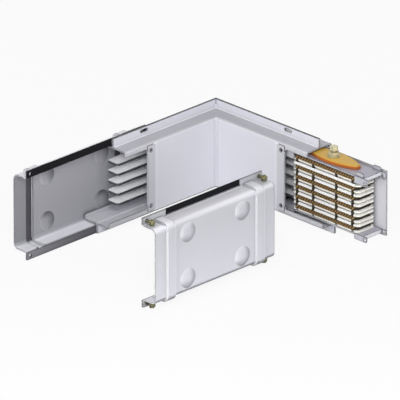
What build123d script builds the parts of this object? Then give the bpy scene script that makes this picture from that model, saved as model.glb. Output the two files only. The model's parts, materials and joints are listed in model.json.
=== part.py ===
"""Busway elbow section: two sheet halves round five flat bars, with a joint pack on one leg.

Millimetres, +Z up. The origin is the corner where the flange planes of the two legs meet, at the
bottom edge of the lower flanges. The left leg runs along -X and ends in bare bars between two
joint covers. The right leg runs along -Y and carries the joint pack. The inner side of the elbow
is the side of -X and -Y.
"""
import os

from build123d import *

# Housing
sheet = 2.0
wall_height = 138.0
flange_height = 18.0
half_depth = 32.0
bend_radius = 4.0
top_length = 264.0
bottom_overrun = 40.0
window_start = 207.0
window_strip = 10.5
window_radius = 6.0
band_start = 183.0
band_rise = 0.8
band_hole_d = 7.5
band_hole_inset = 8.5
band_hole_pitch = 109.0
slot_length = 18.0
slot_width = 6.5
fixing_start = 186.0
fixing_inset = 7.0

# Busbars and what holds them
bar_count = 5
bar_width = 28.0
bar_thickness = 5.0
bar_pitch = 19.5
bar_overrun = 1.0
bar_end_chamfer = 4.0
bar_inner_radius = 5.0
support_length = 20.0
support_place = 150.0
running_fit = 0.3

# Joint pack
joint_reach = 36.0
splice_length = 168.0
splice_width = 46.0
splice_thickness = 3.0
splice_chamfer = 6.0
ground_thickness = 3.0
insulator_inset = 2.0
insulator_end_inset = 6.0
lug_inset = 14.0
inner_lug_place = 29.0
lug_length = 5.0
lug_depth = 2.5
lug_proud = 1.0
lug_fit = 0.3
end_plate_length = 197.0
end_plate_thickness = 4.0
end_plate_fold = 8.0
tab_lug_gap = 3.5
tab_thickness = 2.0
upper_tab_height = 15.0
lower_tab_height = 11.0
tab_hole_d = 7.0
tab_hole_clear = 0.5
tab_hole_edge = 5.5
tab_hole_margin = 5.6
ear_length = 19.0
ear_height = 8.0
ear_inset = 1.0
side_plate_margin = 1.0
side_plate_drop = 3.0
bolt_d = 12.0
bolt_fit = 0.3
sleeve_wall = 2.0
pressure_length = 126.0
pressure_width = 40.0
pressure_tip = 10.0
pressure_thickness = 7.5
washer_d = 24.0
spring_washer_d = 21.0
washer_thickness = 1.6
bolt_head_flats = 17.0
bolt_head_height = 6.0
bolt_neck_d = 9.0
bolt_neck_height = 2.5
torque_head_flats = 14.0
torque_head_height = 7.0
nut_flats = 19.0
nut_height = 5.0
rivet_d = 6.0
rivet_head_d = 11.0
rivet_head_height = 1.6

# Joint covers
cover_length = 301.0
cover_start = 177.0
cover_clear = 2.0
cover_gap = 3.0
cover_bend = 10.0
lip_bend = 2.0
lip_tab_length = 57.0
lip_notch_depth = 11.0
rib_width = 20.0
rib_rise = 4.0
rib_margin = 28.0
dimple_d = 38.0
dimple_rise = 4.0
dimple_pitch_along = 138.0
dimple_pitch_up = 89.0
strip_thickness = 2.0
strip_height = 14.0
screw_d = 6.0
screw_fit = 0.2
screw_flats = 10.0
screw_head_height = 4.0
screw_washer_d = 13.0
screw_washer_height = 1.4
screw_reach_front = 12.0
screw_reach_back = 3.8
cover_pulled_out = 288.0

# Places that the pieces share
bottom_length = top_length + bottom_overrun
bar_end = top_length + bar_overrun
joint_place = top_length + joint_reach
outer_lug_place = splice_length / 2 - lug_inset
lug_places = (-outer_lug_place, -inner_lug_place, inner_lug_place, outer_lug_place)
tab_start = outer_lug_place + lug_length / 2 + tab_lug_gap
tab_hole_place = end_plate_length / 2 + tab_hole_clear + tab_hole_d / 2
tab_end = tab_hole_place + tab_hole_edge
side_plate_length = 2 * (tab_end + side_plate_margin)

# Heights that the pieces share
wall_bottom = flange_height
wall_top = wall_bottom + wall_height
total_height = wall_top + flange_height
middle = total_height / 2
window_bottom = wall_bottom + window_strip
window_top = wall_top - window_strip
lip_plane = sheet + strip_thickness
insulator_thickness = bar_pitch - bar_thickness - 2 * splice_thickness
level_half = bar_thickness / 2 + splice_thickness
bar_levels = [middle + bar_pitch * (i - (bar_count - 1) / 2) for i in reversed(range(bar_count))]
stack_top = bar_levels[0] + level_half + insulator_thickness
ground_top = bar_levels[-1] - level_half - insulator_thickness
upper_plate_top = stack_top + end_plate_thickness
lower_plate_top = ground_top - ground_thickness
lower_plate_bottom = lower_plate_top - end_plate_thickness
pressure_top = upper_plate_top + pressure_thickness
tab_face = splice_width / 2 + tab_thickness
bore_d = bolt_d + 2 * bolt_fit
sleeve_d = bore_d + 2 * sleeve_wall
splice_bore_d = sleeve_d + 2 * running_fit
fixing_end = 2 * cover_start + cover_length - fixing_start
cover_middle = cover_start + cover_length / 2

BOTTOM = (Align.CENTER, Align.CENTER, Align.MIN)
MITRE = Plane(origin=(0, 0, 0), z_dir=(1, -1, 0))
PACK = Pos(0, -joint_place, 0) * Rot(0, 0, -90)


def span(x0, x1, y0, y1, z0, z1):
    """Return the box between two corners."""
    size = Box(x1 - x0, y1 - y0, z1 - z0, align=(Align.MIN, Align.MIN, Align.MIN))
    return Pos(x0, y0, z0) * size


def along_x(face, x0, x1):
    """Extrude a face, drawn as Y against Z, from x0 to x1."""
    return extrude(Plane.YZ.offset(x0) * face, amount=x1 - x0)


def hat_section(skin_depth, z0, z1, flange_plane, radii, thickness):
    """Return a bent hat section: its outer skin lies at the given depth and heights."""
    skin = FilletPolyline((flange_plane, total_height), (flange_plane, z1), (skin_depth, z1),
                          (skin_depth, z0), (flange_plane, z0), (flange_plane, 0), radius=radii)
    return make_face(skin.offset_2d(thickness, side=Side.RIGHT, closed=True))


def rounded_region(y0, y1, z0, z1, radius):
    """Return a rectangle whose two corners at y1 are round."""
    region = make_face(Polyline((y0, z0), (y1, z0), (y1, z1), (y0, z1), close=True))
    corners = region.vertices().sort_by(Axis.X)[-2:]
    return fillet(corners, radius)


def cross_bore(diameter, x, z, y0, y1):
    """Return a round cutter along Y, from y0 to y1."""
    bore = extrude(Plane.XZ * Circle(diameter / 2), amount=-(y1 - y0))
    return Pos(x, y0, z) * bore


def standing_bore(diameter, z0, z1):
    """Return a round cutter along Z on the joint axis."""
    return Pos(0, 0, z0) * Cylinder(diameter / 2, z1 - z0, align=BOTTOM)


def hexagon_block(flats, z0, height):
    """Return a hexagonal block standing at z0."""
    return Pos(0, 0, z0) * extrude(RegularPolygon(flats / 2, 6, major_radius=False), amount=height)


# Housing halves
def housing_leg(side):
    """Return one half's left leg, cut on the mitre; side is 1 for the outer half, -1 for the inner."""
    radii = [sheet / 2, bend_radius, bend_radius, sheet / 2]
    section = hat_section(half_depth, wall_bottom, wall_top, sheet, radii, sheet)
    leg = along_x(section, -bottom_length, half_depth)
    leg += span(-window_start, -band_start, half_depth - sheet / 2, half_depth + band_rise,
                wall_bottom + bend_radius, wall_top - bend_radius)
    window = span(-bottom_length - 1, -window_start, half_depth - 2 * sheet, half_depth + sheet,
                  window_bottom, window_top)
    leg -= fillet(window.edges().filter_by(Axis.Y).group_by(Axis.X)[-1], window_radius)
    leg -= span(-bottom_length - 1, -top_length, -sheet, half_depth + sheet, middle, total_height + 1)
    for z in (fixing_inset, total_height - fixing_inset):
        slot = extrude(Plane.XZ * SlotOverall(slot_length, slot_width), amount=-3 * sheet)
        leg -= Pos(-fixing_start, -sheet, z) * slot
    for z in (middle - band_hole_pitch / 2, middle + band_hole_pitch / 2):
        place = window_start - band_hole_inset
        leg -= cross_bore(band_hole_d, -place, z, half_depth - 2 * sheet, half_depth + 2 * sheet)
    if side < 0:
        leg = mirror(leg, about=Plane.XZ)
    return split(leg, bisect_by=MITRE, keep=Keep.BOTTOM)


def housing_half(side):
    """Return one half of the housing: two legs that meet on the mitre."""
    leg = housing_leg(side)
    return leg + mirror(leg, about=MITRE)


# Busbars
def busbar(level):
    """Return one flat bar, bent on edge round the corner, with both ends bare."""
    half = bar_width / 2
    outline = make_face(Polyline((-bar_end, -half), (-half, -half), (-half, -bar_end), (half, -bar_end),
                                 (half, half), (-bar_end, half), close=True))
    ends = outline.vertices().sort_by_distance((half, half))[-4:]
    outline = chamfer(ends, bar_end_chamfer)
    inner = outline.vertices().sort_by_distance((-half, -half))[0]
    outline = fillet(inner, bar_inner_radius)
    outer = outline.vertices().sort_by_distance((half, half))[0]
    outline = fillet(outer, bar_inner_radius + half)
    return Pos(0, 0, level - bar_thickness / 2) * extrude(outline, amount=bar_thickness)


def bar_support():
    """Return the left leg's moulded block: it fills the housing and the bars run through it."""
    depth = half_depth - sheet - running_fit
    block = span(-support_length / 2, support_length / 2, -depth, depth,
                 wall_bottom + sheet + running_fit, wall_top - sheet - running_fit)
    block = chamfer(block.edges().filter_by(Axis.X), bend_radius)
    for level in bar_levels:
        block -= Pos(0, 0, level) * Box(2 * support_length, bar_width + 2 * running_fit,
                                        bar_thickness + 2 * running_fit)
    return Pos(-support_place, 0, 0) * block


# Joint pack, drawn with X along the leg, Y across it and its bolt on the Z axis
def pack_outline(inset, end_inset):
    """Return the plan shape of the splice plates, drawn in at its sides and its ends."""
    outline = Rectangle(splice_length - 2 * end_inset, splice_width - 2 * inset)
    return chamfer(outline.vertices(), splice_chamfer)


def lug_cutter(x, side, grow):
    """Return the plan rectangle of one insulator lug, grown by a clearance."""
    inner = splice_width / 2 - lug_depth - grow
    outer = splice_width / 2 + lug_proud + grow
    return Pos(x, side * (inner + outer) / 2) * Rectangle(lug_length + 2 * grow, outer - inner)


def splice_plate(z0, thickness):
    """Return one flat plate, notched for the insulators' lugs."""
    outline = pack_outline(0, 0)
    for x in lug_places:
        outline -= lug_cutter(x, 1, lug_fit)
        outline -= lug_cutter(x, -1, lug_fit)
    outline -= Circle(splice_bore_d / 2)
    return Pos(0, 0, z0) * extrude(outline, amount=thickness)


def insulator(z0, reach_down, reach_up):
    """Return one insulator, whose lugs reach past the plates on both sides."""
    outline = pack_outline(insulator_inset, insulator_end_inset) - Circle(splice_bore_d / 2)
    block = Pos(0, 0, z0) * extrude(outline, amount=insulator_thickness)
    lugs = Sketch() + [lug_cutter(x, side, 0) for x in lug_places for side in (1, -1)]
    height = insulator_thickness + reach_down + reach_up
    return block + Pos(0, 0, z0 - reach_down) * extrude(lugs, amount=height)


def insulating_sleeve():
    """Return the tube that keeps the bolt clear of the splice plates."""
    tube = standing_bore(sleeve_d, ground_top, stack_top)
    return tube - standing_bore(bore_d, ground_top - 1, stack_top + 1)


def end_plate(top, tab_height, hole_z):
    """Return a steel plate with folded ends and four tabs, drilled for screws near, rivets far."""
    half = end_plate_length / 2
    plate = span(-half, half, -splice_width / 2, splice_width / 2, top - end_plate_thickness, top)
    for side in (1, -1):
        x = side * (half - end_plate_thickness / 2)
        plate += Pos(x, 0, top - end_plate_fold) * Box(end_plate_thickness, splice_width,
                                                       end_plate_fold, align=BOTTOM)
    for end in (1, -1):
        for side in (1, -1):
            plate += end_tab(end, side, top, tab_height)
            bore = tab_hole_d if side < 0 else rivet_d
            plate -= cross_bore(bore, end * tab_hole_place, hole_z,
                                *sorted((side * (splice_width / 2 - sheet), side * (tab_face + sheet))))
    return plate - standing_bore(bore_d, top - 2 * end_plate_thickness, top + 1)


def end_tab(end, side, top, height):
    """Return one hanging tab, with its corners cut and its root on the plate's long edge."""
    tab = span(tab_start, tab_end, splice_width / 2, tab_face, top - height, top)
    tab = chamfer(tab.edges().filter_by(Axis.Y).group_by(Axis.Z)[0], tab_thickness)
    if end < 0:
        tab = mirror(tab, about=Plane.YZ)
    if side < 0:
        tab = mirror(tab, about=Plane.XZ)
    return tab


def top_plate():
    """Return the upper end plate, with an upright ear beside each tab."""
    plate = end_plate(upper_plate_top, upper_tab_height, upper_plate_top - upper_tab_height + tab_hole_margin)
    outer = end_plate_length / 2 - ear_inset
    for side in (1, -1):
        for end in (1, -1):
            ear = span(outer - ear_length, outer, splice_width / 2 - tab_thickness, splice_width / 2,
                       upper_plate_top - 1, upper_plate_top + ear_height)
            ear = chamfer(ear.edges().filter_by(Axis.Y).group_by(Axis.Z)[-1], tab_thickness)
            if end < 0:
                ear = mirror(ear, about=Plane.YZ)
            if side < 0:
                ear = mirror(ear, about=Plane.XZ)
            plate += ear
    return plate


def side_plate():
    """Return the far side's closing plate, drilled where the tabs are."""
    top = upper_plate_top + side_plate_drop
    plate = span(-side_plate_length / 2, side_plate_length / 2, tab_face, tab_face + sheet,
                 lower_plate_top - lower_tab_height, top)
    for x, z in rivet_places():
        plate -= cross_bore(rivet_d, x, z, tab_face - sheet, tab_face + 2 * sheet)
    return plate


def upper_hole_z():
    """Return the height of the upper tabs' holes."""
    return upper_plate_top - upper_tab_height + tab_hole_margin


def lower_hole_z():
    """Return the height of the lower tabs' holes."""
    return lower_plate_top - lower_tab_height + tab_hole_margin


def rivet_places():
    """Return where the four rivets of the side plate sit, as X and Z."""
    return [(end * tab_hole_place, z) for z in (upper_hole_z(), lower_hole_z()) for end in (-1, 1)]


def rivet(x, z):
    """Return one rivet: its shank fills the tab and the plate, flush inside, with its head outside."""
    outside = tab_face + sheet
    shank = cross_bore(rivet_d, x, z, tab_face - tab_thickness, outside)
    return shank + cross_bore(rivet_head_d, x, z, outside, outside + rivet_head_height)


def pressure_plate():
    """Return the lens-shaped plate that spreads the bolt's pull."""
    end = pressure_length / 2
    tip = pressure_tip / 2
    half = pressure_width / 2
    outline = make_face([
        ThreePointArc((-end, tip), (0, half), (end, tip)), Line((end, tip), (end, -tip)),
        ThreePointArc((end, -tip), (0, -half), (-end, -tip)), Line((-end, -tip), (-end, tip))])
    plate = Pos(0, 0, upper_plate_top) * extrude(outline, amount=pressure_thickness)
    plate = chamfer(plate.edges().group_by(Axis.Z)[-1], 1.5)
    return plate - standing_bore(bore_d, upper_plate_top - 1, pressure_top + 1)


def washer(z0, diameter):
    """Return one washer round the bolt."""
    ring = standing_bore(diameter, z0, z0 + washer_thickness)
    return ring - standing_bore(bore_d, z0 - 1, z0 + washer_thickness + 1)


def joint_bolt():
    """Return the bolt, with a neck and a second head that twists off at the right torque."""
    seat = pressure_top + 2 * washer_thickness
    neck = seat + bolt_head_height
    torque = neck + bolt_neck_height
    bolt = standing_bore(bolt_d, lower_plate_bottom - washer_thickness - nut_height, seat)
    bolt += hexagon_block(bolt_head_flats, seat, bolt_head_height)
    bolt += standing_bore(bolt_neck_d, neck, torque)
    return bolt + hexagon_block(torque_head_flats, torque, torque_head_height)


def joint_nut():
    """Return the nut under the lower plate."""
    z0 = lower_plate_bottom - washer_thickness - nut_height
    return hexagon_block(nut_flats, z0, nut_height) - standing_bore(bolt_d, z0 - 1, lower_plate_bottom)


# Joint covers, drawn on the left leg's outer side
def cover():
    """Return one cover: a hat section with two raised ribs, four domes and drilled end tabs."""
    depth = half_depth + cover_gap + sheet
    low = wall_bottom - cover_clear - sheet
    high = wall_top + cover_clear + sheet
    x0 = -cover_start - cover_length
    x1 = -cover_start
    skin = lip_plane + sheet
    radii = [lip_bend, cover_bend, cover_bend, lip_bend]
    shell = along_x(hat_section(depth, low, high, skin, radii, sheet), x0, x1)
    inside = rounded_region(0, depth - sheet, low + sheet, high - sheet, cover_bend - sheet)
    rib_outer = rounded_region(lip_plane, depth + rib_rise, low - rib_rise, high + rib_rise,
                               cover_bend + rib_rise)
    rib_inner = rounded_region(0, depth + rib_rise - sheet, low - rib_rise + sheet,
                               high + rib_rise - sheet, cover_bend + rib_rise - sheet)
    for start in (x0 + rib_margin, x1 - rib_margin - rib_width):
        shell += along_x(rib_outer, start, start + rib_width) - along_x(inside, x0, x1)
        shell -= along_x(rib_inner, start + sheet, start + rib_width - sheet)
    for along in (-1, 1):
        for up in (-1, 1):
            place = (-cover_middle + along * dimple_pitch_along / 2, middle + up * dimple_pitch_up / 2)
            shell = dimpled(shell, *place, depth)
    notch_x0 = x0 + lip_tab_length
    notch_x1 = x1 - lip_tab_length
    for z0, z1 in ((-1, lip_notch_depth), (total_height - lip_notch_depth, total_height + 1)):
        shell -= span(notch_x0, notch_x1, 0, depth / 2, z0, z1)
    for x, z in fixing_places():
        shell -= cross_bore(screw_d + screw_fit, x, z, 0, depth / 2)
    return shell


def dimpled(shell, x, z, depth):
    """Return the shell with one dome of even thickness pressed outward."""
    radius = (dimple_d ** 2 / 4 + dimple_rise ** 2) / (2 * dimple_rise)
    centre = depth + dimple_rise - radius
    outside = Pos(x, centre, z) * Sphere(radius)
    hollow = Pos(x, centre, z) * Sphere(radius - sheet)
    half = dimple_d / 2 + 1
    cap = outside & span(x - half, x + half, depth - sheet / 2, depth + half, z - half, z + half)
    core = hollow & span(x - half, x + half, depth - 3 * sheet, depth + half, z - half, z + half)
    return shell + cap - core


def fixing_places():
    """Return where the cover's four screws pass, as X and Z."""
    heights = (fixing_inset, total_height - fixing_inset)
    return [(-x, z) for z in heights for x in (fixing_start, fixing_end)]


def sealing_strip(upper):
    """Return one of the dark strips on a cover's lips."""
    low = wall_bottom - cover_clear - sheet
    high = wall_top + cover_clear + sheet
    z0, z1 = (high, high + strip_height) if upper else (low - strip_height, low)
    strip = span(-cover_start - cover_length, -cover_start, sheet, lip_plane, z0, z1)
    for x, z in fixing_places():
        strip -= cross_bore(screw_d + screw_fit, x, z, 0, lip_plane + sheet)
    return strip


def cover_screw(x, z):
    """Return one captive screw, standing off the lip with its washer head outward."""
    lip = lip_plane + sheet
    head = lip + screw_reach_front
    shank = cross_bore(screw_d, x, z, sheet - screw_reach_back, head)
    flange = cross_bore(screw_washer_d, x, z, head, head + screw_washer_height)
    top = hexagon_block(screw_flats, 0, screw_head_height)
    return shank + flange + Pos(x, head + screw_washer_height, z) * Rot(-90, 0, 0) * top


def in_front(shape):
    """Return a piece of the cover, turned to the inner side and pulled out."""
    return Pos(0, -cover_pulled_out, 0) * mirror(shape, about=Plane.XZ)


def pack_pieces():
    """Return the joint pack's pieces by name, in the pack's own frame."""
    pieces = {}
    reach = splice_thickness + bar_thickness / 2 - running_fit / 2
    for number, level in enumerate(bar_levels, start=1):
        lower = level - level_half
        pieces[f"splice_plate_{number}_upper"] = splice_plate(level + bar_thickness / 2, splice_thickness)
        pieces[f"splice_plate_{number}_lower"] = splice_plate(lower, splice_thickness)
        reach_up = 0 if number == 1 else reach
        pieces[f"insulator_{number}"] = insulator(level + level_half, reach, reach_up)
    number = bar_count + 1
    pieces[f"insulator_{number}"] = insulator(ground_top, 0, reach)
    pieces["ground_plate"] = splice_plate(lower_plate_top, ground_thickness)
    pieces["insulating_sleeve"] = insulating_sleeve()
    pieces["top_plate"] = top_plate()
    pieces["bottom_plate"] = end_plate(lower_plate_top, lower_tab_height, lower_hole_z())
    pieces["side_plate"] = side_plate()
    for number, (x, z) in enumerate(rivet_places(), start=1):
        pieces[f"side_plate_rivet_{number}"] = rivet(x, z)
    pieces["pressure_plate"] = pressure_plate()
    pieces["flat_washer"] = washer(pressure_top, washer_d)
    pieces["spring_washer"] = washer(pressure_top + washer_thickness, spring_washer_d)
    pieces["nut_washer"] = washer(lower_plate_bottom - washer_thickness, washer_d)
    pieces["joint_bolt"] = joint_bolt()
    pieces["joint_nut"] = joint_nut()
    return pieces


def build():
    """Return every piece of the elbow section by name, where it belongs."""
    pieces = {"outer_housing": housing_half(1), "inner_housing": housing_half(-1)}
    for number, level in enumerate(bar_levels, start=1):
        pieces[f"busbar_{number}"] = busbar(level)
    support = bar_support()
    pieces["bar_support_left"] = support
    pieces["bar_support_right"] = mirror(support, about=MITRE)
    for name, shape in pack_pieces().items():
        pieces[name] = PACK * shape
    shell = cover()
    pieces["rear_cover"] = shell
    pieces["front_cover"] = in_front(shell)
    for word, upper in (("upper", True), ("lower", False)):
        strip = sealing_strip(upper)
        pieces[f"rear_strip_{word}"] = strip
        pieces[f"front_strip_{word}"] = in_front(strip)
    for number, (x, z) in enumerate(fixing_places(), start=1):
        pieces[f"cover_screw_{number}"] = in_front(cover_screw(x, z))
    return pieces


if __name__ == "__main__":
    os.makedirs("parts", exist_ok=True)
    for name, shape in build().items():
        export_step(shape, f"parts/{name}.step")
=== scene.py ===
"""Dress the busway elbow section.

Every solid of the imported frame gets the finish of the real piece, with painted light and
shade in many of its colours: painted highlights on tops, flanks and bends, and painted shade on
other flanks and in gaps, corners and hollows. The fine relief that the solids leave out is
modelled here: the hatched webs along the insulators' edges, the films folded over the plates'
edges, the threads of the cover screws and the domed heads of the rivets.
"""
import json
import logging
import math
from dataclasses import dataclass, field
from enum import Enum

import bmesh
import bpy
from mathutils import Matrix, Vector


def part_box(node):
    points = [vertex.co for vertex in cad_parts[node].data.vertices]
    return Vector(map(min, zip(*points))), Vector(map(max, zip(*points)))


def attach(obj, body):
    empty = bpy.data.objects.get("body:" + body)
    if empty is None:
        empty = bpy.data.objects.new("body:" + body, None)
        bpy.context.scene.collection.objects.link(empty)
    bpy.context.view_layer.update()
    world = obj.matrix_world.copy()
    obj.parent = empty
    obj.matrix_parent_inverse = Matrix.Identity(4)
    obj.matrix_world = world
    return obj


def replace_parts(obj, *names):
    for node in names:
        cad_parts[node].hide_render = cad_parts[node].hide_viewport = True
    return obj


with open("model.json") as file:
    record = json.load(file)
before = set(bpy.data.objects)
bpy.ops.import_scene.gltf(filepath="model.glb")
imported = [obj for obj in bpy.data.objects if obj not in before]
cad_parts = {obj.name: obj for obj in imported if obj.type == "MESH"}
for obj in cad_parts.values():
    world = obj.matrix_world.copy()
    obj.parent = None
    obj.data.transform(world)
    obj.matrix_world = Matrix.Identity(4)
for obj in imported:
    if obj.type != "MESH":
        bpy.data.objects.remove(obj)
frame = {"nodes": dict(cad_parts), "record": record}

LOG = logging.getLogger("busway_elbow")
MM = 0.001
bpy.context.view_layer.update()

Tree = bpy.types.NodeTree
Socket = bpy.types.NodeSocket
Colour = tuple[float, float, float, float]

# The limits of a place: for each, its axis and the two coordinates, in mm, between which the
# place fades in
Spans = tuple[tuple[str, float, float], ...]


class Grain(Enum):
    """How a surface was made, which sets the pattern that it shows."""

    POWDER_COATED = "powder coated"
    BRUSHED = "brushed"
    PLATED = "plated"
    MOULDED = "moulded"


# How finely the noise of a grain is broken up
NOISE_DETAIL = {Grain.POWDER_COATED: 1.5, Grain.MOULDED: 3.0, Grain.BRUSHED: 4.0}

# A brushed grain is 25 times as long as it is wide
LENGTHWISE_SCALE = 0.04

# The slow drift of a surface's colour, and the shares of the drift and of the grain in it
DRIFT_MM = 70.0
DRIFT_DETAIL = 2.0
DRIFT_SHARE = 0.6
GRAIN_SHARE = 0.4

# How far the roughness moves with the grain, and how strongly the grain's bumps show
ROUGHNESS_SPREAD = (-0.05, 0.07)
BUMP_STRENGTH = 0.5

# The rays for each point of a recess's shade and of an edge's line
SHADE_SAMPLES = 8
EDGE_SAMPLES = 4

# How far the rounded normal has left the face's own, as a cosine, where an edge's colour starts
# and where it is full
EDGE_COSINES = (0.992, 0.93)

# How many facets a rounded edge has
ROUNDING_FACETS = 2

# The Mix node's sockets for colours, whose names its other sockets share
MIX_SHARE, MIX_FIRST, MIX_SECOND, MIX_RESULT = 0, 6, 7, 2


def linear(hex_colour: str) -> Colour:
    """Turn an sRGB hex colour to linear light.

    Args:
        hex_colour: Six hexadecimal digits, such as "D8D8E2".

    Returns:
        Red, green, blue and an alpha of 1.
    """
    values = [int(hex_colour[i:i + 2], 16) / 255 for i in (0, 2, 4)]
    flat = [v / 12.92 if v <= 0.04045 else ((v + 0.055) / 1.055) ** 2.4 for v in values]
    return (*flat, 1.0)


def direction(azimuth: float, elevation: float) -> Vector:
    """Turn two angles to a direction that points away from the object.

    Args:
        azimuth: The angle round the object, in degrees; 0 looks from -Y.
        elevation: The angle above the floor, in degrees.

    Returns:
        The direction, of length 1.
    """
    a = math.radians(azimuth)
    e = math.radians(elevation)
    return Vector((math.sin(a) * math.cos(e), -math.cos(a) * math.cos(e), math.sin(e)))


def add_node(tree: Tree, kind: str, settings: dict | None = None,
             links: dict | None = None) -> bpy.types.Node:
    """Add a node with its settings and its incoming links.

    Args:
        tree: The node tree to add to.
        kind: Blender's name of the node type.
        settings: Attribute names, or input names and numbers, with their values.
        links: Input names or numbers with the sockets that feed them.

    Returns:
        The new node.
    """
    node = tree.nodes.new(kind)
    for key, value in (settings or {}).items():
        if isinstance(key, str) and hasattr(node, key):
            setattr(node, key, value)
        else:
            node.inputs[key].default_value = value
    for key, socket in (links or {}).items():
        tree.links.new(socket, node.inputs[key])
    return node


def mix_colours(tree: Tree, share: Socket, first: Socket | Colour,
                second: Socket | Colour) -> Socket:
    """Mix two colours, each of which is a socket or uniform.

    Args:
        tree: The material's node tree.
        share: The second colour's share.
        first: The first colour.
        second: The second colour.

    Returns:
        The socket of the mixed colour.
    """
    settings, links = {"data_type": "RGBA"}, {MIX_SHARE: share}
    for key, colour in ((MIX_FIRST, first), (MIX_SECOND, second)):
        (links if isinstance(colour, Socket) else settings)[key] = colour
    return add_node(tree, "ShaderNodeMix", settings, links).outputs[MIX_RESULT]


def soften(piece: bpy.types.Object, width_mm: float, sharp_degrees: float, harden: bool) -> None:
    """Round a piece's sharp edges with a live modifier.

    Args:
        piece: The piece.
        width_mm: How wide the rounding is.
        sharp_degrees: The angle from which an edge counts as sharp.
        harden: Whether the flat faces keep their own normals.
    """
    bevel = piece.modifiers.new("edges", "BEVEL")
    bevel.width = width_mm * MM
    bevel.segments = ROUNDING_FACETS
    bevel.limit_method = "ANGLE"
    bevel.angle_limit = math.radians(sharp_degrees)
    bevel.harden_normals = harden


@dataclass(frozen=True)
class Facing:
    """The colour of the faces that look along one direction of the object.

    Attributes:
        axis: The direction.
        colour: The colour there, sRGB hex.
        spans_mm: The limits of the place that has this colour.
        turn: How far a face is turned to the direction, as a cosine, where the colour starts and
            where it is full.
    """

    axis: tuple[float, float, float]
    colour: str
    spans_mm: Spans = ()
    turn: tuple[float, float] = (0.2, 0.8)


UP = (0.0, 0.0, 1.0)
DOWN = (0.0, 0.0, -1.0)
FRONT = (0.0, -1.0, 0.0)
LEFT = (-1.0, 0.0, 0.0)
RIGHT = (1.0, 0.0, 0.0)

# The turn of a dome's shallow flank
SHALLOW = (0.04, 0.42)

# The housing: the raised bands at the ends of its legs, its lower tray and the cut upper rim
BETWEEN_FLANGES = (("Z", 19.0, 20.0), ("Z", 155.0, 154.0))
LEFT_BAND = (("X", -188.0, -189.0), *BETWEEN_FLANGES)
RIGHT_BAND = (("Y", -188.0, -189.0), *BETWEEN_FLANGES)
LOWER_TRAY = (("Z", 41.0, 39.0),)
CUT_RIM = (("Z", 172.4, 173.2),)

# Where the housing is bent and not cut, with a painted highlight along its bends: between the
# bands, and along the upper flange's root
HOUSING_BENDS = (
    (("X", -192.5, -191.5), ("Y", -192.5, -191.5), ("Z", 10.0, 12.0), ("Z", 164.0, 162.0)),
    (("X", -261.5, -260.5), ("Y", -261.5, -260.5), ("Z", 152.5, 153.5), ("Z", 164.0, 162.0)),
)

# A cover: what lies below its upper fold, its panel between the ribs, and the ribs' hollows
BELOW_FOLD = (("Z", 150.0, 145.0),)
PANEL = (*BELOW_FOLD, ("X", -425.0, -423.0), ("X", -229.0, -231.0))
LEFT_HOLLOW = (("Y", 34.5, 36.0), ("X", -428.0, -430.0))
RIGHT_HOLLOW = (("Y", 34.5, 36.0), ("X", -226.0, -224.0))

# Where a cover is bent and not cut, with a painted highlight along its bends: everywhere inside
# its outline
COVER_BENDS = (
    (("X", -474.0, -472.0), ("X", -182.0, -184.0), ("Z", 14.0, 16.0), ("Z", 160.0, 158.0)),
)


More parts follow.
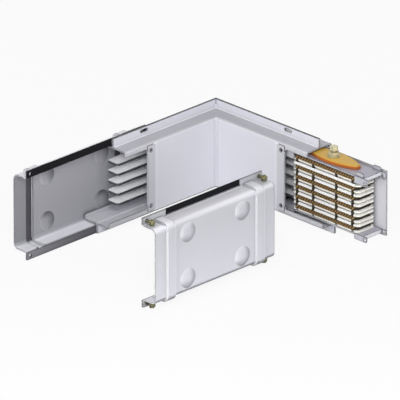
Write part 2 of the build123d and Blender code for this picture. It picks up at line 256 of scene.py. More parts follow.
@dataclass(frozen=True)
class Finish:
    """One real material and how its surface was made.

    Attributes:
        name: What a maker calls it.
        colour: Its main colour, sRGB hex.
        second: The colour that the pattern drifts to, sRGB hex.
        grain: How the surface was made.
        grain_mm: The pattern's size.
        metallic: 1 for bare metal, 0 for paint, plastic and rubber.
        roughness: The shader's roughness.
        relief_mm: The height of the pattern's bumps.
        lengthwise: For a brushed grain, the axis it runs along: 0, 1 or 2.
        facings: Colours of faces by direction, later ones on top; mostly painted light and shade.
        shade: How much painted shade darkens narrow gaps and inner corners.
        shade_mm: How wide a gap counts as narrow.
        edge: The colour along cut edges, sRGB hex, or none.
        edge_mm: How far from the edge it reaches.
        bend: The painted highlight along bends, in place of the edge's colour, sRGB hex, or none.
        bend_places_mm: The places whose edges are bends with the painted highlight, each as
            limits.
        specular: The shader's specular level.
    """

    name: str
    colour: str
    second: str
    grain: Grain
    grain_mm: float
    metallic: float = 0.0
    roughness: float = 0.45
    relief_mm: float = 0.02
    lengthwise: int = 0
    facings: tuple[Facing, ...] = ()
    shade: float = 0.55
    shade_mm: float = 9.0
    edge: str | None = None
    edge_mm: float = 0.9
    bend: str | None = None
    bend_places_mm: tuple[Spans, ...] = ()
    specular: float = 0.5

    def material(self) -> bpy.types.Material:
        """Build the node material.

        Returns:
            The finished material.
        """
        made = bpy.data.materials.new(self.name)
        made.use_nodes = True
        tree = made.node_tree
        tree.nodes.clear()
        place = add_node(tree, "ShaderNodeTexCoord").outputs["Object"]
        pattern = self._pattern(tree, place)
        base = mix_colours(tree, self._blend(tree, pattern, place), linear(self.colour),
                           linear(self.second))
        for facing in self.facings:
            base = self._facing_side(tree, base, facing, place)
        base = self._recess_shade(tree, base)
        if self.edge:
            base = self._edge_line(tree, base, place)
        smoothest, roughest = (self.roughness + step for step in ROUGHNESS_SPREAD)
        rough = add_node(tree, "ShaderNodeMapRange", {"To Min": smoothest, "To Max": roughest},
                         {"Value": pattern}).outputs["Result"]
        bump = add_node(tree, "ShaderNodeBump",
                        {"Strength": BUMP_STRENGTH, "Distance": self.relief_mm * MM},
                        {"Height": pattern}).outputs["Normal"]
        shader = add_node(tree, "ShaderNodeBsdfPrincipled",
                          {"Metallic": self.metallic, "Specular IOR Level": self.specular},
                          {"Base Color": base, "Roughness": rough, "Normal": bump})
        add_node(tree, "ShaderNodeOutputMaterial", None, {"Surface": shader.outputs["BSDF"]})
        return made

    def _pattern(self, tree: Tree, place: Socket) -> Socket:
        """Add the grain's pattern, from 0 to 1.

        Args:
            tree: The material's node tree.
            place: The object coordinates.

        Returns:
            The pattern's socket.
        """
        scale = 1 / (self.grain_mm * MM)
        if self.grain is Grain.PLATED:
            return add_node(tree, "ShaderNodeTexVoronoi",
                            {"Scale": scale, "feature": "SMOOTH_F1"},
                            {"Vector": place}).outputs["Distance"]
        if self.grain is Grain.BRUSHED:
            stretch = [1.0, 1.0, 1.0]
            stretch[self.lengthwise] = LENGTHWISE_SCALE
            place = add_node(tree, "ShaderNodeMapping", {"Scale": tuple(stretch)},
                             {"Vector": place}).outputs["Vector"]
        return add_node(tree, "ShaderNodeTexNoise",
                        {"Scale": scale, "Detail": NOISE_DETAIL[self.grain]},
                        {"Vector": place}).outputs["Fac"]

    @staticmethod
    def _blend(tree: Tree, pattern: Socket, place: Socket) -> Socket:
        """Join the grain and the slow drift to the second colour's share.

        Args:
            tree: The material's node tree.
            pattern: The grain's pattern.
            place: The object coordinates.

        Returns:
            The socket of the share.
        """
        drift = add_node(tree, "ShaderNodeTexNoise",
                         {"Scale": 1 / (DRIFT_MM * MM), "Detail": DRIFT_DETAIL},
                         {"Vector": place}).outputs["Fac"]
        slow = add_node(tree, "ShaderNodeMath", {"operation": "MULTIPLY", 1: DRIFT_SHARE},
                        {0: drift}).outputs[0]
        return add_node(tree, "ShaderNodeMath", {"operation": "MULTIPLY_ADD", 1: GRAIN_SHARE},
                        {0: pattern, 2: slow}).outputs[0]

    def _recess_shade(self, tree: Tree, base: Socket) -> Socket:
        """Darken the colour in narrow gaps and inner corners.

        Args:
            tree: The material's node tree.
            base: The socket of the colour so far.

        Returns:
            The socket of the shaded colour.
        """
        open_share = add_node(tree, "ShaderNodeAmbientOcclusion",
                              {"samples": SHADE_SAMPLES,
                               "Distance": self.shade_mm * MM}).outputs["AO"]
        level = add_node(tree, "ShaderNodeMapRange", {"To Min": 1.0 - self.shade, "To Max": 1.0},
                         {"Value": open_share}).outputs["Result"]
        return add_node(tree, "ShaderNodeVectorMath", {"operation": "SCALE"},
                        {0: base, "Scale": level}).outputs["Vector"]

    def _edge_line(self, tree: Tree, base: Socket, place: Socket) -> Socket:
        """Colour the sharp edges, where a rounded normal leaves the face's own.

        Args:
            tree: The material's node tree.
            base: The socket of the colour so far.
            place: The object coordinates.

        Returns:
            The socket of the mixed colour.
        """
        rounded = add_node(tree, "ShaderNodeBevel",
                           {"samples": EDGE_SAMPLES, "Radius": self.edge_mm * MM})
        geometry = add_node(tree, "ShaderNodeNewGeometry")
        same = add_node(tree, "ShaderNodeVectorMath", {"operation": "DOT_PRODUCT"},
                        {0: rounded.outputs[0], 1: geometry.outputs["Normal"]}).outputs["Value"]
        mask = add_node(tree, "ShaderNodeMapRange",
                        {"From Min": EDGE_COSINES[0], "From Max": EDGE_COSINES[1]},
                        {"Value": same}).outputs["Result"]
        line = linear(self.edge)
        # Within the bend places the line turns to the bend's painted highlight
        for spans_mm in self.bend_places_mm:
            line = mix_colours(tree, self._within(tree, None, place, spans_mm), line,
                               linear(self.bend))
        return mix_colours(tree, mask, base, line)

    @staticmethod
    def _within(tree: Tree, mask: Socket | None, place: Socket, spans_mm: Spans) -> Socket | None:
        """Limit a mask to one place.

        Args:
            tree: The material's node tree.
            mask: The mask so far, or none.
            place: The object coordinates.
            spans_mm: The place's limits.

        Returns:
            The socket of the limited mask, or what was given where there are no limits.
        """
        for axis, start, end in spans_mm:
            along = add_node(tree, "ShaderNodeSeparateXYZ", None, {0: place}).outputs[axis]
            fade = add_node(tree, "ShaderNodeMapRange",
                            {"From Min": start * MM, "From Max": end * MM},
                            {"Value": along}).outputs["Result"]
            mask = fade if mask is None else add_node(
                tree, "ShaderNodeMath", {"operation": "MULTIPLY"}, {0: mask, 1: fade}).outputs[0]
        return mask

    def _facing_side(self, tree: Tree, base: Socket, facing: Facing, place: Socket) -> Socket:
        """Give the faces that look along one direction their own colour.

        Args:
            tree: The material's node tree.
            base: The colour of the other faces.
            facing: The direction, its colour and its place.
            place: The object coordinates.

        Returns:
            The socket of the mixed colour.
        """
        geometry = add_node(tree, "ShaderNodeNewGeometry")
        look = add_node(tree, "ShaderNodeVectorTransform",
                        {"vector_type": "NORMAL", "convert_from": "WORLD", "convert_to": "OBJECT"},
                        {"Vector": geometry.outputs["True Normal"]})
        turned = add_node(tree, "ShaderNodeVectorMath",
                          {"operation": "DOT_PRODUCT", 1: facing.axis},
                          {0: look.outputs["Vector"]}).outputs["Value"]
        mask = add_node(tree, "ShaderNodeMapRange",
                        {"From Min": facing.turn[0], "From Max": facing.turn[1]},
                        {"Value": turned}).outputs["Result"]
        mask = self._within(tree, mask, place, facing.spans_mm)
        return mix_colours(tree, mask, base, linear(facing.colour))


FINISHES = {
    # Polyester powder coat on galvanised sheet: even and pale with a faint orange peel, a
    # painted highlight along the bends and dark along the cut edges; painted shade darkens the
    # tops, less on the lower tray's, and the faces of the raised bands at the legs' ends
    "housing_paint": Finish(
        "polyester_powder_coat", "D6D6DF", "E0E0E8", Grain.POWDER_COATED, 2.5,
        roughness=0.32, relief_mm=0.03, shade=0.35, edge="16161C", edge_mm=2.4,
        bend="FFFFFF", bend_places_mm=HOUSING_BENDS,
        facings=(Facing(UP, "C6C6CC"), Facing(UP, "D6D7DC", LOWER_TRAY),
                 Facing(FRONT, "C8C8CE", LEFT_BAND), Facing(LEFT, "C8C8CE", RIGHT_BAND),
                 Facing(UP, "1B1B21", CUT_RIM))),
    # The same coat on a drawn cover: a grey panel with painted shade that darkens it towards the
    # top; its folds, ribs and domes get a painted highlight on their tops, on the flanks that look
    # left and along the bends, and painted shade on the flanks that look down and right
    "cover_paint": Finish(
        "polyester_powder_coat_cover", "CFCFD7", "DEDEE6", Grain.POWDER_COATED, 2.5,
        roughness=0.3, relief_mm=0.03, shade=0.6, shade_mm=14.0, edge="1A1A20", edge_mm=2.2,
        bend="F4F4FA", bend_places_mm=COVER_BENDS,
        facings=(Facing(FRONT, "C2C3C9", (("Z", 15.0, 135.0),)), Facing(UP, "E8E8EE"),
                 Facing(LEFT, "FFFFFF", BELOW_FOLD), Facing(DOWN, "84848C", BELOW_FOLD, SHALLOW),
                 Facing(RIGHT, "80808A", BELOW_FOLD), Facing(RIGHT, "9A9AA2", PANEL, SHALLOW))),
    # The same coat on a cover's inner side, with painted shade: the faces that look front, inside
    # the cover, are darker, the hollows of the ribs and the domes' flanks that look down and left
    # darker still, and the tops and the flanks that look right are painted lighter
    "cover_paint_inner": Finish(
        "powder_coat_inner_with_painted_shade", "DCDCE2", "E8E8EC", Grain.POWDER_COATED, 2.5,
        roughness=0.36, relief_mm=0.03, shade=0.6, edge="16161A", edge_mm=2.4,
        facings=(Facing(UP, "F6F6FC"), Facing(FRONT, "A1A1A7"),
                 Facing(DOWN, "3A3A40", PANEL, SHALLOW), Facing(LEFT, "5A5A60", PANEL, SHALLOW),
                 Facing(RIGHT, "C4C4CA", PANEL, SHALLOW), Facing(FRONT, "48484E", LEFT_HOLLOW),
                 Facing(FRONT, "48484E", RIGHT_HOLLOW))),
    # Moulded EPDM sponge: near black and dull, with pores drawn coarser than real
    "strip_rubber": Finish(
        "moulded_epdm_sponge", "08080C", "15151A", Grain.MOULDED, 1.2,
        roughness=0.85, relief_mm=0.12, specular=0.2),
    # The same sponge on the lower lip, with painted light that turns its front faces grey towards
    # its left end
    "strip_rubber_painted_light": Finish(
        "moulded_epdm_sponge_painted_light", "26262B", "36363C", Grain.MOULDED, 1.2,
        roughness=0.85, relief_mm=0.12, specular=0.2,
        facings=(Facing(FRONT, "8C8C92", (("X", -210.0, -470.0),)),)),
    # Electro-tinned aluminium bar: silver-white, with a painted highlight on the tops and painted
    # shade on the edge faces that look front and left, and a drawn grain coarser than real
    "tinned_bar": Finish(
        "tin_plated_aluminium_bar", "D2D7DD", "E0E4E8", Grain.BRUSHED, 2.2,
        roughness=0.36, relief_mm=0.02, shade=0.12, shade_mm=5.0,
        facings=(Facing(UP, "FFFFFF"), Facing(FRONT, "2E3036"), Facing(LEFT, "4A4C52"))),
    # Electro-tinned copper plate: creamy white and soft, with a painted highlight on the tops and
    # a rolled grain coarser than real
    "tinned_splice": Finish(
        "tin_plated_copper_splice", "F3F0E4", "FAF7EE", Grain.BRUSHED, 2.0,
        metallic=0.1, roughness=0.4, relief_mm=0.02, lengthwise=1, shade=0.3, shade_mm=4.0,
        facings=(Facing(UP, "FFFFFF"),)),
    # Polyester film folded over a plate's edge: white, smooth and faintly glossy
    "edge_film": Finish(
        "folded_white_polyester_film", "F2F2F0", "FAFAF8", Grain.MOULDED, 3.0,
        roughness=0.34, relief_mm=0.01, shade=0.4, shade_mm=2.0),
    # Glass-filled polyester moulding: brown, dull and slightly mottled
    "insulator_moulding": Finish(
        "moulded_glass_filled_polyester", "261F14", "3A3020", Grain.MOULDED, 3.0,
        roughness=0.66, relief_mm=0.06, specular=0.3),
    # The same moulding where its hatched web is rubbed: olive that drifts to rust brown
    "insulator_web": Finish(
        "moulded_glass_filled_polyester_web", "7A7444", "98602F", Grain.MOULDED, 22.0,
        roughness=0.58, relief_mm=0.05),
    # Glass-filled nylon moulding: pale grey, dull and slightly mottled
    "support_moulding": Finish(
        "moulded_glass_filled_nylon", "B4B7BD", "C2C5CA", Grain.MOULDED, 2.5,
        roughness=0.6, relief_mm=0.05),
    # Electro-zinc plated steel sheet: pale grey with dark cut edges, painted shade that turns the
    # tops lilac-grey and darkens the faces that look left, and a rolled grain coarser than real
    "pack_steel": Finish(
        "zinc_plated_steel_sheet", "DCDCE3", "E8E8EE", Grain.BRUSHED, 2.4,
        metallic=0.15, roughness=0.42, relief_mm=0.02, lengthwise=1, edge="18181E", edge_mm=2.4,
        facings=(Facing(UP, "BDBBC8"), Facing(LEFT, "C0C1C8"))),
    # Polyester powder coat on the pack's side plate: even pale grey with dark cut edges
    "side_plate_steel": Finish(
        "polyester_powder_coat_side", "C6C6CE", "D2D2D8", Grain.POWDER_COATED, 2.5,
        roughness=0.42, relief_mm=0.03, edge="18181E", edge_mm=2.2),
    # Zinc plated steel rivet: grey in blotches coarser than real, with a gleam on its dome
    "rivet_steel": Finish(
        "zinc_plated_steel_rivet", "B9B9BE", "CFCFD4", Grain.PLATED, 2.0,
        metallic=0.7, roughness=0.35),
    # Yellow chromate on zinc: olive brown to straw, in blotches coarser than real
    "screw_zinc": Finish(
        "yellow_chromated_zinc", "2C2A18", "BAB68A", Grain.PLATED, 1.8,
        metallic=0.6, roughness=0.25, edge="14130C", edge_mm=0.8),
    # Epoxy enamel on the pressed plate: orange flanks, and painted light that turns the top golden
    "pressure_paint": Finish(
        "orange_epoxy_enamel", "B25C12", "C66E1E", Grain.POWDER_COATED, 3.0,
        roughness=0.36, relief_mm=0.04, edge="4A2810", edge_mm=1.6,
        facings=(Facing(UP, "E2B440"),)),
    # Clear chromate on zinc: straw to cream, in blotches coarser than real
    "bolt_zinc": Finish(
        "clear_chromated_zinc", "C9BF90", "EFE9CC", Grain.PLATED, 2.4,
        metallic=0.5, roughness=0.3, edge="2C2616", edge_mm=1.0),
}


@dataclass(frozen=True)
class Lamp:
    """One square lamp that faces the object.

    Attributes:
        name: The lamp's name.
        azimuth: Its direction round the object, in degrees.
        elevation: Its height above the floor, in degrees.
        power: Its power, in watts.
        distance: How far off it hangs, in metres.
        size: Its side, in metres.
    """

    name: str
    azimuth: float
    elevation: float
    power: float
    distance: float = 2.4
    size: float = 1.1

    def hang(self, target: Vector) -> None:
        """Put the lamp into the scene.

        Args:
            target: What the lamp faces.
        """
        lamp = bpy.data.lights.new(self.name, "AREA")
        lamp.size = self.size
        lamp.energy = self.power
        holder = bpy.data.objects.new(self.name, lamp)
        away = direction(self.azimuth, self.elevation)
        holder.location = target + away * self.distance
        holder.rotation_euler = away.to_track_quat("Z", "Y").to_euler()
        bpy.context.scene.collection.objects.link(holder)


@dataclass
class Studio:
    """The floor, the lamps and the camera at the photograph's angle.

    Three lamps hang low in front, so that the bays are lit, and two behind for the far sides.

    Attributes:
        target: What the camera and the lamps face, in metres.
        azimuth: The camera's direction round the object, in degrees.
        elevation: Its height above the floor, in degrees.
        frame_width: The width that the picture takes in, in metres.
        lens: The camera's focal length, in mm.
        sensor: Its sensor's width, in mm.
        view_depth: How far it sees, in metres.
        horizon_light: The world's light at the horizon.
        zenith_light: The world's light overhead.
        floor_half: Half the floor's side, in metres.
        floor_drop: How far the floor lies below the object, in metres.
        floor_glow: How much of the floor's white the camera sees as its own light.
        lamps: The lamps.
    """

    target: Vector = field(default_factory=lambda: Vector((-0.207, -0.166, 0.087)))
    azimuth: float = -45.0
    elevation: float = 23.5
    frame_width: float = 0.720
    lens: float = 1200.0
    sensor: float = 36.0
    view_depth: float = 50.0
    horizon_light: float = 0.62
    zenith_light: float = 0.12
    floor_half: float = 6.0
    floor_drop: float = 0.0002
    floor_glow: float = 0.9
    lamps: tuple[Lamp, ...] = (
        Lamp("left_lamp", -84.0, 18.0, 17.0),
        Lamp("right_lamp", -8.0, 22.0, 11.0),
        Lamp("front_lamp", -45.0, 35.0, 26.5, distance=2.6, size=0.7),
        Lamp("rear_left_lamp", -172.0, 10.0, 13.0),
        Lamp("rear_right_lamp", 82.0, 10.0, 13.0),
    )

    def build(self) -> None:
        """Set up the world, the floor, the lamps and the camera."""
        scene = bpy.context.scene
        scene.view_settings.view_transform = "Standard"
        self._world(scene)
        self._floor()
        for lamp in self.lamps:
            lamp.hang(self.target)
        self._camera(scene)
        LOG.info("studio ready")

    def _world(self, scene: bpy.types.Scene) -> None:
        """Light the world from its horizon; the camera and reflections see it white.

        Args:
            scene: The scene that gets the world.
        """
        world = bpy.data.worlds.new("studio_world")
        scene.world = world
        world.use_nodes = True
        tree = world.node_tree
        tree.nodes.clear()
        path = add_node(tree, "ShaderNodeLightPath")
        seen = add_node(tree, "ShaderNodeMath", {"operation": "MAXIMUM"},
                        {0: path.outputs["Is Camera Ray"], 1: path.outputs["Is Glossy Ray"]})
        look = add_node(tree, "ShaderNodeTexCoord").outputs["Generated"]
        height = add_node(tree, "ShaderNodeSeparateXYZ", None, {0: look}).outputs["Z"]
        fade = add_node(tree, "ShaderNodeMapRange",
                        {"From Min": 0.0, "From Max": 1.0, "To Min": self.horizon_light,
                         "To Max": self.zenith_light}, {"Value": height}).outputs["Result"]
        light = add_node(tree, "ShaderNodeBackground", {"Color": linear("FFFFFF")},
                         {"Strength": fade})
        white = add_node(tree, "ShaderNodeBackground",
                         {"Color": linear("FFFFFF"), "Strength": 1.0})
        mix = add_node(tree, "ShaderNodeMixShader", None,
                       {0: seen.outputs[0], 1: light.outputs[0], 2: white.outputs[0]})
        add_node(tree, "ShaderNodeOutputWorld", None, {"Surface": mix.outputs[0]})

    def _floor(self) -> None:
        """Lay a pale floor that keeps a faint shadow."""
        shape = bmesh.new()
        bmesh.ops.create_grid(shape, x_segments=1, y_segments=1, size=self.floor_half)
        bmesh.ops.translate(shape, vec=(0, 0, -self.floor_drop), verts=shape.verts)
        mesh = bpy.data.meshes.new("floor")
        shape.to_mesh(mesh)
        shape.free()
        floor = bpy.data.objects.new("floor", mesh)
        bpy.context.scene.collection.objects.link(floor)
        made = bpy.data.materials.new("studio_paper")
        made.use_nodes = True
        tree = made.node_tree
        tree.nodes.clear()
        path = add_node(tree, "ShaderNodeLightPath")
        paper = add_node(tree, "ShaderNodeBsdfDiffuse", {"Color": linear("F4F4F4")})
        glow = add_node(tree, "ShaderNodeEmission", {"Color": linear("FFFFFF"), "Strength": 1.0})
        share = add_node(tree, "ShaderNodeMath", {"operation": "MULTIPLY", 1: self.floor_glow},
                         {0: path.outputs["Is Camera Ray"]})
        mix = add_node(tree, "ShaderNodeMixShader", None,
                       {0: share.outputs[0], 1: paper.outputs[0], 2: glow.outputs[0]})
        add_node(tree, "ShaderNodeOutputMaterial", None, {"Surface": mix.outputs[0]})
        mesh.materials.append(made)

    def _camera(self, scene: bpy.types.Scene) -> None:
        """Stand a long-lens camera where the photograph looks from.

        Args:
            scene: The scene that gets the camera.
        """
        data = bpy.data.cameras.new("camera")
        data.lens = self.lens
        data.sensor_width = self.sensor
        data.clip_end = self.view_depth
        camera = bpy.data.objects.new("camera", data)
        away = direction(self.azimuth, self.elevation)
        distance = self.lens / self.sensor * self.frame_width
        camera.location = self.target + away * distance
        camera.rotation_euler = away.to_track_quat("Z", "Y").to_euler()
        scene.collection.objects.link(camera)
        scene.camera = camera


@dataclass
class CarriedNodes:
    """The CAD nodes, which keep their meshes and get their finishes and soft edges.

    Attributes:
        join_mm: How near two corners lie that count as one.
        edge_mm: The width of the rounded edges.
        sharp_degrees: The angle from which an edge is rounded.
        own_finish: The nodes whose finish isn't that of their material slot.
    """

    join_mm: float = 0.02
    edge_mm: float = 0.35
    sharp_degrees: float = 28.0
    # The rear cover's inner side takes a finish with painted shade, its lower strip one with
    # painted light
    own_finish: dict[str, str] = field(default_factory=lambda: {
        "rear_cover": "cover_paint_inner", "rear_strip_lower": "strip_rubber_painted_light"})

    def dress(self) -> dict[str, bpy.types.Material]:
        """Give every node its finish, join its loose triangles and soften its sharp edges.

        Returns:
            The materials by finish name.
        """
        materials = {slot: finish.material() for slot, finish in FINISHES.items()}
        slots = {part["node"]: part["material_slot"] for part in frame["record"]["subparts"]}
        for name, node in frame["nodes"].items():
            made = materials[self.own_finish.get(name, slots[name])]
            if not node.material_slots:
                node.data.materials.append(made)
            for place in node.material_slots:
                place.material = made
            weld = node.modifiers.new("join", "WELD")
            weld.merge_threshold = self.join_mm * MM
            soften(node, self.edge_mm, self.sharp_degrees, harden=False)
        LOG.info("%d nodes dressed", len(frame["nodes"]))
        return materials


@dataclass
class Relief:
    """Base of the pieces that this scene models itself, in metres, at their real places.

    Attributes:
        name: The piece's name.
        material: Its material.
        slot: Its material slot in the record; not used.
        body: The body that it rides on.
        sharp_degrees: The angle from which an edge is rounded.
        merge: How near two corners of a turned form lie that count as one.
        shape: The mesh in the making.
    """

    name: str
    material: bpy.types.Material
    slot: str = ""
    body: str = "elbow"
    sharp_degrees: float = 35.0
    merge: float = 0.001 * MM
    shape: bmesh.types.BMesh = field(default_factory=bmesh.new)

    def block(self, low: Vector, high: Vector, lean: float = 0.0) -> None:
        """Add one block between two corners.

        Args:
            low: The low corner.
            high: The high corner.
            lean: How far the block leans towards -Y for each unit of height.
        """
        made = bmesh.ops.create_cube(self.shape, size=1.0)["verts"]
        bmesh.ops.scale(self.shape, vec=high - low, verts=made)
        slope = Matrix(((1, 0, 0), (0, 1, -lean), (0, 0, 1)))
        self.stand(made, (low + high) / 2, slope)

    def lathe(self, profile: list[tuple[float, float]], at: Vector, turn: Matrix,
              steps: int = 40) -> None:
        """Add a turned form.

        Args:
            profile: Radius and height pairs, in metres, from one end to the other.
            at: Where the form's foot goes.
            turn: The rotation from +Z to the form's own axis.
            steps: How many sides the form has.
        """
        points = [self.shape.verts.new((radius, 0.0, height)) for radius, height in profile]
        edges = [self.shape.edges.new(pair) for pair in zip(points, points[1:])]
        before = set(self.shape.verts) - set(points)
        bmesh.ops.spin(self.shape, geom=points + edges, cent=(0, 0, 0), axis=(0, 0, 1),
                       angle=math.tau, steps=steps, use_merge=True)
        made = [v for v in self.shape.verts if v not in before]
        bmesh.ops.remove_doubles(self.shape, verts=made, dist=self.merge)
        self.stand([v for v in self.shape.verts if v not in before], at, turn)

    def stand(self, verts: list[bmesh.types.BMVert], at: Vector, turn: Matrix) -> None:
        """Turn vertices about the origin and move them to their place.

        Args:
            verts: The vertices.
            at: Where the origin goes.
            turn: The rotation or slope.
        """
        bmesh.ops.transform(self.shape, matrix=Matrix.Translation(at) @ turn.to_4x4(),
                            verts=verts)

    def finish(self, edge_mm: float = 0.0) -> bpy.types.Object:
        """Turn the shape into a smooth-shaded object that rides on its body.

        Args:
            edge_mm: The width of the rounded edges; 0 leaves them as they are.

        Returns:
            The new object.
        """
        bmesh.ops.recalc_face_normals(self.shape, faces=self.shape.faces)
        for face in self.shape.faces:
            face.smooth = True
        mesh = bpy.data.meshes.new(self.name)
        self.shape.to_mesh(mesh)
        self.shape.free()
        mesh.materials.append(self.material)
        piece = bpy.data.objects.new(self.name, mesh)
        bpy.context.scene.collection.objects.link(piece)
        if edge_mm:
            soften(piece, edge_mm, self.sharp_degrees, harden=True)
        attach(piece, self.body)
        LOG.info("%s: %d faces, on %s", self.name, len(mesh.polygons), self.body)
        return piece


@dataclass
class EdgeStrips(Relief):
    """Strips along both long edges of one level of the joint pack.

    Attributes:
        root: How far each strip reaches inwards from its outer face.
        rounding_mm: The width of its rounded edges.
    """

    slot: str = "insulator_moulding"
    root: float = 0.0
    rounding_mm: float = 0.2

    def build(self, low: Vector, high: Vector, runs: list[tuple[float, float]],
              lean: float) -> bpy.types.Object:
        """Model one strip for each run, on either side.

        Args:
            low: The low corner of the strips' box, which the outer faces touch.
            high: The high corner.
            runs: Starts and ends along Y.
            lean: How far the strips' ends lean.

        Returns:
            The piece.
        """
        for start, end in runs:
            for x0, x1 in ((low.x, low.x + self.root), (high.x - self.root, high.x)):
                self.block(Vector((x0, start, low.z)), Vector((x1, end, high.z)), lean)
        return self.finish(self.rounding_mm)


@dataclass
class CoverScrew(Relief):
    """One captive screw: rolled thread, washer face and hexagon head with turned-down corners.

    Attributes:
        radius: The thread's outer radius.
        root: The thread's inner radius.
        pitch: The thread's pitch.
        crest: Where on the pitch the thread's flat crest starts and ends, as shares.
        point: The length of the tapered point.
        point_share: The point's end against the root.
        head_flats: The hexagon's width across flats.
        head_height: The hexagon's height.
        corner_cut: How far its corners are turned down.
        washer_radius: The washer face's radius.
        washer_height: The washer face's height.
        rim_share: The chamfer of the washer face's rim against its height.
        seat_share: The radius under the hexagon against its flats.
        turn_steps: The facets in one turn of the thread.
        upright: How far a face looks along the screw, as a cosine, to count as the head's top.
    """

    slot: str = "screw_zinc"
    body: str = "front_cover"
    radius: float = 3.0 * MM
    root: float = 2.5 * MM
    pitch: float = 1.0 * MM
    crest: tuple[float, float] = (0.4, 0.6)
    point: float = 1.5 * MM
    point_share: float = 0.8
    head_flats: float = 10.0 * MM
    head_height: float = 4.0 * MM
    corner_cut: float = 0.8 * MM
    washer_radius: float = 6.5 * MM
    washer_height: float = 1.4 * MM
    rim_share: float = 0.25
    seat_share: float = 0.45
    turn_steps: int = 20
    upright: float = 0.9

    def build(self, low: Vector, high: Vector) -> bpy.types.Object:
        """Model the screw, which points along +Y.

        Args:
            low: The low corner of the plain screw's box.
            high: The high corner.

        Returns:
            The piece.
        """
        foot = Vector(((low.x + high.x) / 2, high.y, (low.z + high.z) / 2))
        turn = Matrix.Rotation(math.radians(90), 3, "X")
        shank = (high.y - low.y) - self.head_height - self.washer_height
        self.lathe([(0, 0), (self.root * self.point_share, 0), (self.root, self.point),
                    (self.root, shank)], foot, turn)
        self._thread(self.point, shank, foot, turn)
        rim = self.washer_height * self.rim_share
        washer_top = shank + self.washer_height
        self.lathe([(self.root, shank), (self.washer_radius - rim, shank),
                    (self.washer_radius, shank + rim), (self.washer_radius - rim, washer_top),
                    (self.head_flats * self.seat_share, washer_top)], foot, turn)
        self._head(washer_top, foot, turn)
        return self.finish()

    def _thread(self, start: float, end: float, at: Vector, turn: Matrix) -> None:
        """Wind a thread round the shank.

        Args:
            start: Where the thread starts along the shank.
            end: Where it ends.
            at: Where the screw's foot goes.
            turn: The rotation from +Z to the screw's axis.
        """
        before = set(self.shape.verts)
        profile = ((self.root, 0.0), (self.radius, self.crest[0]), (self.radius, self.crest[1]),
                   (self.root, 1.0))
        points = [self.shape.verts.new((r, 0.0, start + t * self.pitch)) for r, t in profile]
        edges = [self.shape.edges.new(pair) for pair in zip(points, points[1:])]
        turns = int((end - start) / self.pitch) - 1
        bmesh.ops.spin(self.shape, geom=points + edges, cent=(0, 0, 0), axis=(0, 0, 1),
                       dvec=(0, 0, self.pitch / self.turn_steps), angle=math.tau * turns,
                       steps=self.turn_steps * turns, use_merge=False)
        self.stand([v for v in self.shape.verts if v not in before], at, turn)

    def _head(self, seat: float, at: Vector, turn: Matrix) -> None:
        """Add the hexagon with its turned-down rim.

        Args:
            seat: Where the hexagon sits along the screw.
            at: Where the screw's foot goes.
            turn: The rotation from +Z to the screw's axis.
        """
        before = set(self.shape.verts)
        outer = self.head_flats / 2 / math.cos(math.pi / 6)
        made = bmesh.ops.create_cone(self.shape, cap_ends=True, segments=6, radius1=outer,
                                     radius2=outer, depth=self.head_height)["verts"]
        bmesh.ops.translate(self.shape, vec=(0, 0, seat + self.head_height / 2), verts=made)
        top = {f for v in made for f in v.link_faces if f.normal.z > self.upright}
        rim = {e for f in top for e in f.edges}
        bmesh.ops.bevel(self.shape, geom=list(rim), offset=self.corner_cut, affect="EDGES",
                        segments=2, profile=0.5, material=-1)
        self.stand([v for v in self.shape.verts if v not in before], at, turn)


@dataclass
class BlindRivet(Relief):
    """One blind rivet of the side plate: a domed head with the hole of its pin.

    Attributes:
        shank: The shank's radius.
        rise: The dome's height.
        dome: Points of the dome: shares of the head's radius, and of the rise below its top.
        pin: The radius of the pin's hole.
        pin_depth: The hole's depth.
        pin_flat: The radius of the flat round the hole, against the hole's.
        pin_chamfer: The depth of the hole's chamfer.
    """

    slot: str = "rivet_steel"
    shank: float = 3.0 * MM
    rise: float = 1.6 * MM
    dome: tuple[tuple[float, float], ...] = ((0.98, 0.72), (0.86, 0.38), (0.6, 0.1))
    pin: float = 1.3 * MM
    pin_depth: float = 0.9 * MM
    pin_flat: float = 1.5
    pin_chamfer: float = 0.1 * MM

    def build(self, low: Vector, high: Vector) -> bpy.types.Object:
        """Model the rivet, whose head looks along +X.

        Args:
            low: The low corner of the plain rivet's box.
            high: The high corner.

        Returns:
            The piece.
        """
        foot = Vector((low.x, (low.y + high.y) / 2, (low.z + high.z) / 2))
        turn = Matrix.Rotation(math.radians(90), 3, "Y")
        length = high.x - low.x
        head = (high.y - low.y) / 2
        under = length - self.rise
        self.lathe([(0, 0), (self.shank, 0), (self.shank, under), (head, under),
                    *((head * out, length - self.rise * down) for out, down in self.dome),
                    (self.pin * self.pin_flat, length), (self.pin, length - self.pin_chamfer),
                    (self.pin, length - self.pin_depth), (0, length - self.pin_depth)],
                   foot, turn)
        return self.finish()


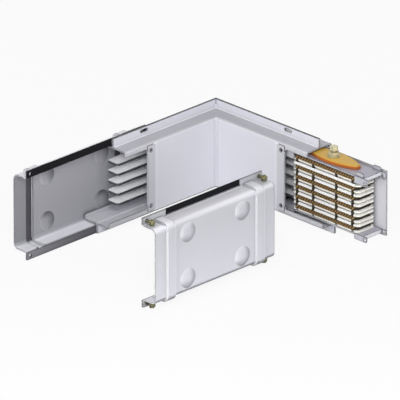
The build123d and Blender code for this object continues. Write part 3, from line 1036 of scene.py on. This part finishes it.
@dataclass
class PackEdges:
    """The joint pack's long sides: a hatched web on each insulator, a film on each lower plate.

    The hatch is drawn coarser than real, so that it shows at the photograph's size.

    Attributes:
        level_count: How many bars, and so pairs of plates, the pack has.
        lug_places: The middles of the insulators' lugs, along Y from the plates' middle.
        half_lug: Half the room that a film leaves for a lug.
        end_cut: How far the strips stay off the plates' cut corners.
        web_inset: How far a web's ribs reach into the pack.
        web_proud: How far they stand out from the plates.
        web_bottom: Where they start, as a share of the insulator's thickness.
        web_top: Where they end.
        hatch_pitch: From one rib to the next.
        hatch_rib: A rib's width.
        hatch_lean: How far a rib leans for each unit of height.
        film_proud: How far a film stands out from its plate.
        first_film_proud: How far the topmost film stands out.
        film_bite: How far a film reaches into its plate.
        film_above: How far it stands above its plate.
        film_lean: How far its ends lean for each unit of height.
    """

    level_count: int = 5
    lug_places: tuple[float, ...] = (-70.0 * MM, -29.0 * MM, 29.0 * MM, 70.0 * MM)
    half_lug: float = 2.9 * MM
    end_cut: float = 8.0 * MM
    web_inset: float = 2.0 * MM
    web_proud: float = 1.15 * MM
    web_bottom: float = 0.12
    web_top: float = 0.88
    hatch_pitch: float = 6.4 * MM
    hatch_rib: float = 3.8 * MM
    hatch_lean: float = 0.9
    film_proud: float = 0.4 * MM
    first_film_proud: float = 1.2 * MM
    film_bite: float = 0.1 * MM
    film_above: float = 2.3 * MM
    film_lean: float = 0.5

    def build(self, materials: dict[str, bpy.types.Material]) -> None:
        """Model the webs and the films, level by level.

        Args:
            materials: The materials by finish name.
        """
        last = self.level_count
        plates = {n: (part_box(f"splice_plate_{n}_upper"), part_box(f"splice_plate_{n}_lower"))
                  for n in range(1, last + 1)}
        gap = plates[1][1][0][2] - plates[2][0][1][2]
        low, high = (Vector(v) for v in plates[1][0])
        feet = [upper[1][2] for upper, _ in plates.values()] + [plates[last][1][0][2] - gap]
        for number, foot in enumerate(feet, 1):
            self._web(number, foot, gap, low, high, materials["insulator_web"])
        for number, (_, lower) in plates.items():
            self._film(number, lower[0][2], lower[1][2], low, high, materials["edge_film"])

    def _web(self, number: int, foot: float, gap: float, low: Vector, high: Vector,
             material: bpy.types.Material) -> None:
        """Model the leaning ribs along one insulator's long edges.

        Args:
            number: The insulator's number, from the top.
            foot: The insulator's underside.
            gap: Its thickness.
            low: The low corner of the plates' outline.
            high: The high corner.
            material: The web's material.
        """
        start, end = low.y + self.end_cut, high.y - self.end_cut
        count = int((end - start) / self.hatch_pitch)
        first = (start + end - count * self.hatch_pitch) / 2
        starts = [first + i * self.hatch_pitch for i in range(count)]
        out = Vector((self.web_proud, 0, 0))
        strips = EdgeStrips(f"insulator_web_{number}", material,
                            root=self.web_inset + self.web_proud)
        strips.build(Vector((low.x, low.y, foot + self.web_bottom * gap)) - out,
                     Vector((high.x, high.y, foot + self.web_top * gap)) + out,
                     [(place, place + self.hatch_rib) for place in starts], self.hatch_lean)

    def _film(self, number: int, bottom: float, top: float, low: Vector, high: Vector,
              material: bpy.types.Material) -> None:
        """Model the film over one lower plate's long edges, which the lugs break but on the first.

        Args:
            number: The level's number, from the top.
            bottom: The plate's underside.
            top: The plate's upper side.
            low: The low corner of the plates' outline.
            high: The high corner.
            material: The film's material.
        """
        middle = (low.y + high.y) / 2
        stops = [low.y + self.end_cut, high.y - self.end_cut]
        proud = self.first_film_proud
        if number > 1:
            proud = self.film_proud
            stops[1:1] = [middle + place + side for place in self.lug_places
                          for side in (-self.half_lug, self.half_lug)]
        out = Vector((proud, 0, 0))
        strips = EdgeStrips(f"edge_film_{number}", material, "tinned_splice",
                            root=proud + self.film_bite)
        strips.build(Vector((low.x, low.y, bottom)) - out,
                     Vector((high.x, high.y, top + self.film_above)) + out,
                     list(zip(stops[::2], stops[1::2])), self.film_lean)


@dataclass
class Fasteners:
    """The detailed screws and rivets that stand in for the plain ones."""

    count: int = 4

    def build(self, materials: dict[str, bpy.types.Material]) -> None:
        """Model and place every screw and rivet.

        Args:
            materials: The materials by finish name.
        """
        for number in range(1, self.count + 1):
            plain = f"cover_screw_{number}"
            screw = CoverScrew(f"{plain}_threaded", materials["screw_zinc"])
            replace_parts(screw.build(*map(Vector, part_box(plain))), plain)
            plain = f"side_plate_rivet_{number}"
            rivet = BlindRivet(f"{plain}_domed", materials["rivet_steel"])
            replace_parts(rivet.build(*map(Vector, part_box(plain))), plain)


def main() -> None:
    """Build the scene in order."""
    logging.basicConfig(level=logging.INFO, format="%(name)s: %(message)s")
    Studio().build()
    materials = CarriedNodes().dress()
    PackEdges().build(materials)
    Fasteners().build(materials)


if __name__ == "__main__":
    main()
